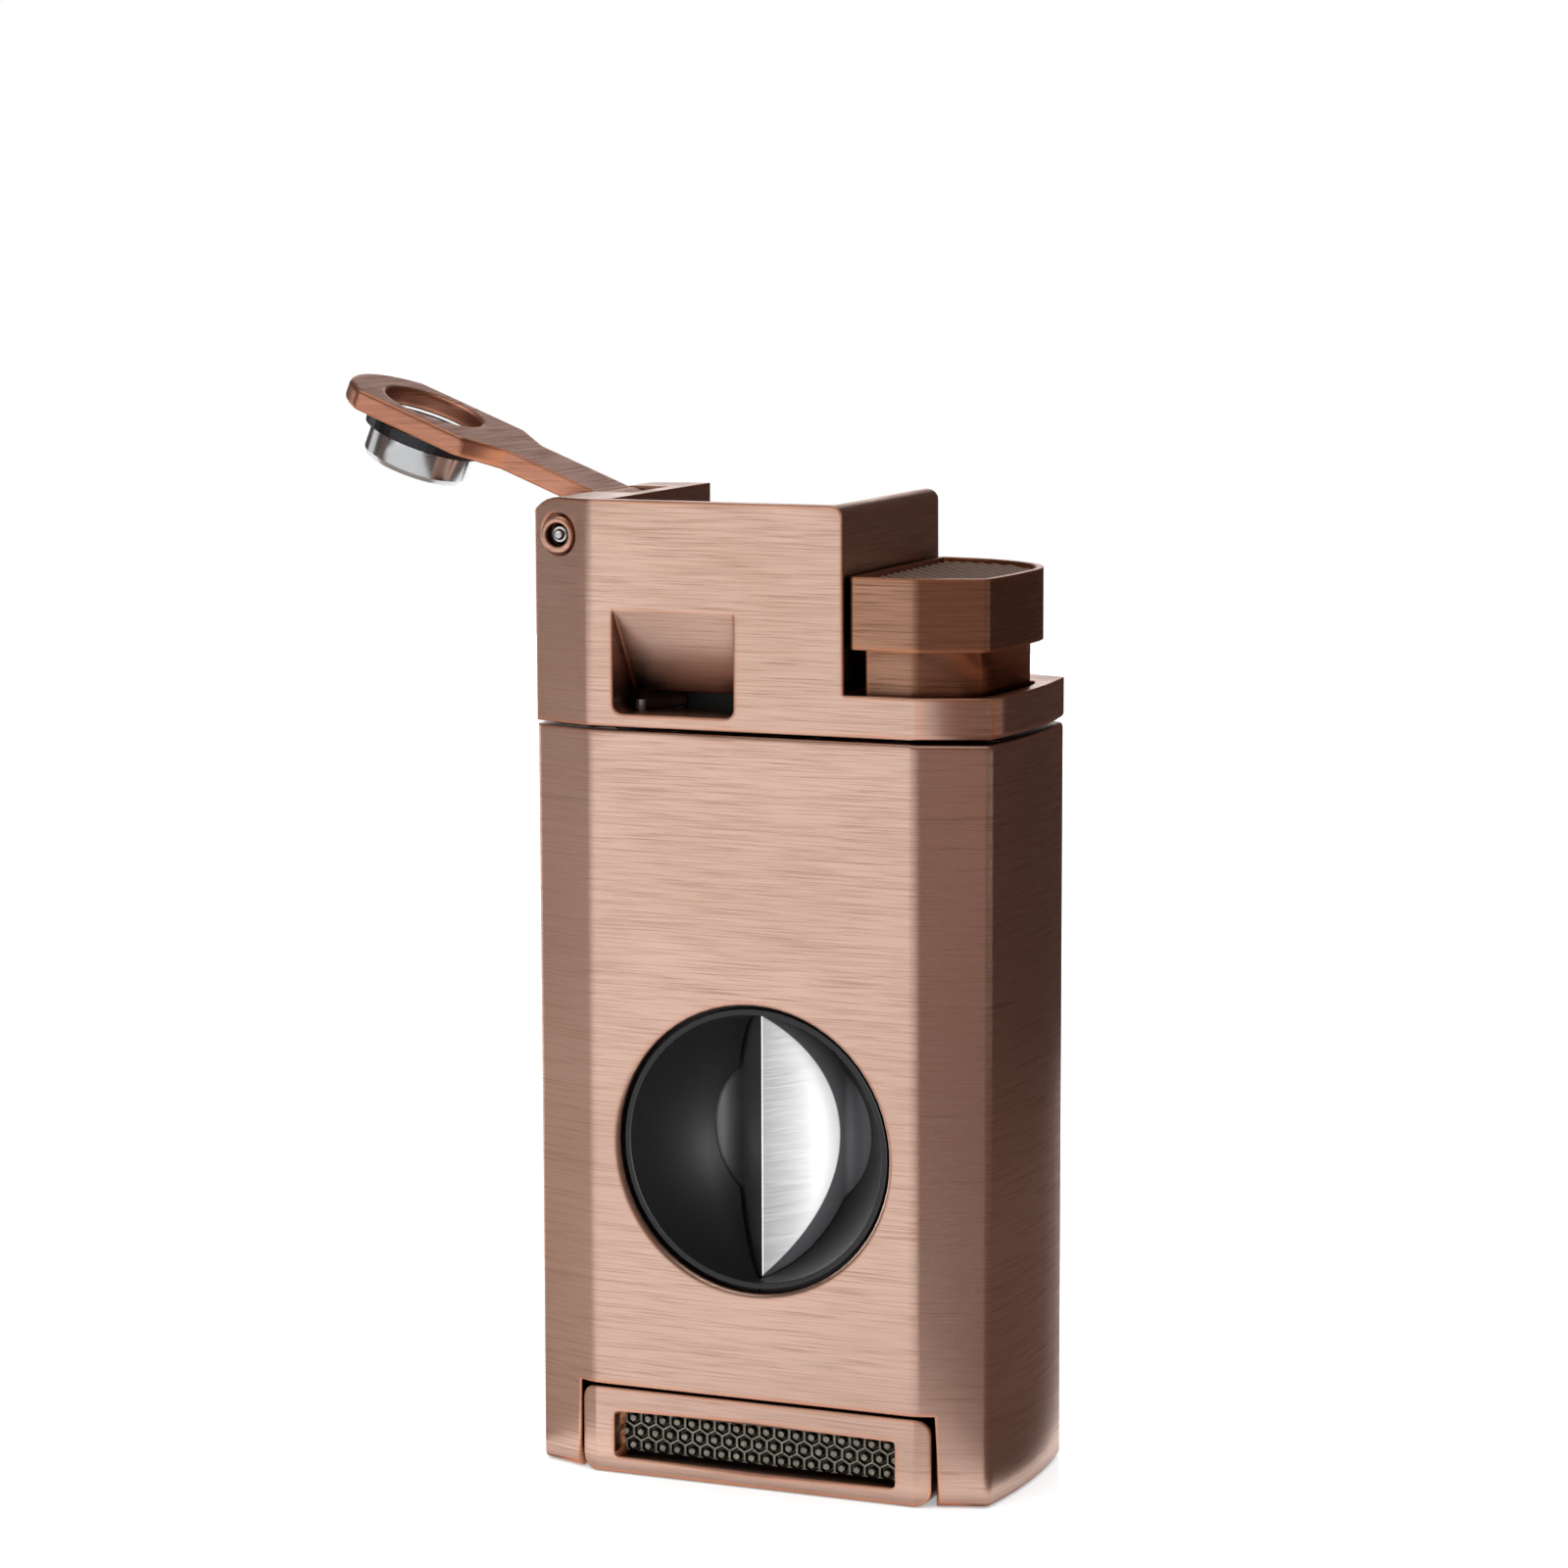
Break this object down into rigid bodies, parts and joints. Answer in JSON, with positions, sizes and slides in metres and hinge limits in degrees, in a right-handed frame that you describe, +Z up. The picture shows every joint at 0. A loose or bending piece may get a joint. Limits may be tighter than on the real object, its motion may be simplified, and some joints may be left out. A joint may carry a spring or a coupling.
{
  "type": "cigar torch lighter",
  "caption": "Pocket gas torch with a rounded metal casing, thumb button, pull-down V-cutter behind a round window and a fold-out punch on a side hinge.",
  "frame": {"origin": "middle of the base, between the flat front and back faces of the casing and between its two sides", "axes": "+X to the right seen from the front with the round window, +Y to the back, +Z up towards the flame outlets"},
  "size_m": [0.0617, 0.021, 0.0892],
  "materials": {
    "copper": "satin",
    "blade_steel": "polished",
    "punch_steel": "polished",
    "dark_steel": "satin",
    "plain_steel": "satin",
    "valve_brass": "satin",
    "black_plastic": "satin",
    "clear_plastic": "gloss",
    "red_plastic": "satin",
    "pad_rubber": "matte",
    "pewter": "satin",
    "ceramic": "satin"
  },
  "bodies": {
    "casing": {"body_shell": "copper", "head_shell": "copper", "hinge_bush_front": "copper", "hinge_bush_rear": "copper", "hinge_pin": "punch_steel", "flame_plate": "dark_steel", "cutter_backplate": "plain_steel", "detent_leaf": "plain_steel", "chassis_plate": "plain_steel", "lever_pin": "plain_steel", "nozzle_left": "plain_steel", "nozzle_right": "plain_steel", "spark_electrode": "plain_steel", "button_spring": "plain_steel", "backplate_screw_1": "plain_steel", "backplate_screw_2": "plain_steel", "backplate_screw_3": "plain_steel", "backplate_screw_4": "plain_steel", "base_screw_1": "plain_steel", "base_screw_2": "plain_steel", "chassis_screw_1": "plain_steel", "chassis_screw_2": "plain_steel", "head_screw_1": "plain_steel", "head_screw_2": "plain_steel", "fill_valve": "valve_brass", "gas_valve": "valve_brass", "gas_tube": "valve_brass", "burner_block": "valve_brass", "cutter_cup": "black_plastic", "punch_pocket_liner": "black_plastic", "burner_base": "black_plastic", "piezo_housing": "black_plastic", "fuel_tank": "clear_plastic", "ignition_lead": "red_plastic", "electrode_insulator": "ceramic"},
    "punch": {"punch_arm": "copper", "punch_tube": "punch_steel", "punch_collar": "dark_steel"},
    "button": {"button_cap": "copper", "grip_pad": "pad_rubber", "button_carrier": "black_plastic", "piezo_plunger": "red_plastic"},
    "gas_rocker": {"gas_lever": "plain_steel"},
    "valve_outlet": {"valve_stem": "valve_brass"},
    "drawer": {"drawer_cap": "copper", "grip_insert": "pewter", "drawer_screw_1": "plain_steel", "drawer_screw_2": "plain_steel", "cutter_slider": "black_plastic", "v_blade": "blade_steel", "blade_rivet_1": "plain_steel", "blade_rivet_2": "plain_steel", "blade_rivet_3": "plain_steel", "blade_rivet_4": "plain_steel"},
    "adjuster": {"flame_adjuster": "valve_brass"},
    "filler_stem": {"fill_stem": "plain_steel"}
  },
  "joints": [
    {"name": "punch_swing", "type": "hinge", "parent": "casing", "child": "punch", "pos_m": [-0.0172, 0.0015, 0.077], "axis": [0, 1, 0], "range_deg": [-111.7, 0]},
    {"name": "button_press", "type": "slide", "parent": "casing", "child": "button", "axis": [0, 0, -1], "range_m": [0, 0.0032], "stiffness_N_per_m": 1500, "springref_m": -0.001, "deforming": ["button_spring"]},
    {"name": "gas_rocker_tilt", "type": "hinge", "parent": "casing", "child": "gas_rocker", "pos_m": [0.0026, 0.0026, 0.0625], "axis": [0, 1, 0], "range_deg": [0, 22]},
    {"name": "valve_lift", "type": "slide", "parent": "casing", "child": "valve_outlet", "axis": [0, 0, 1], "range_m": [0, 0.00105]},
    {"name": "cutter_drawer", "type": "slide", "parent": "casing", "child": "drawer", "axis": [0, 0, -1], "range_m": [0, 0.024]},
    {"name": "flame_adjust", "type": "hinge", "parent": "casing", "child": "adjuster", "pos_m": [0.0002, 0.00665, 0.0012], "axis": [0, 0, 1], "range_deg": [-130, 130]},
    {"name": "fill_stem_press", "type": "slide", "parent": "casing", "child": "filler_stem", "axis": [0, 0, 1], "range_m": [0, 0.001], "stiffness_N_per_m": 300, "springref_m": -0.0005}
  ],
  "couplings": [
    {"joint": "gas_rocker_tilt", "follows": "button_press", "rad_per_m": 117.8},
    {"joint": "valve_lift", "follows": "button_press", "ratio": 0.3125}
  ]
}
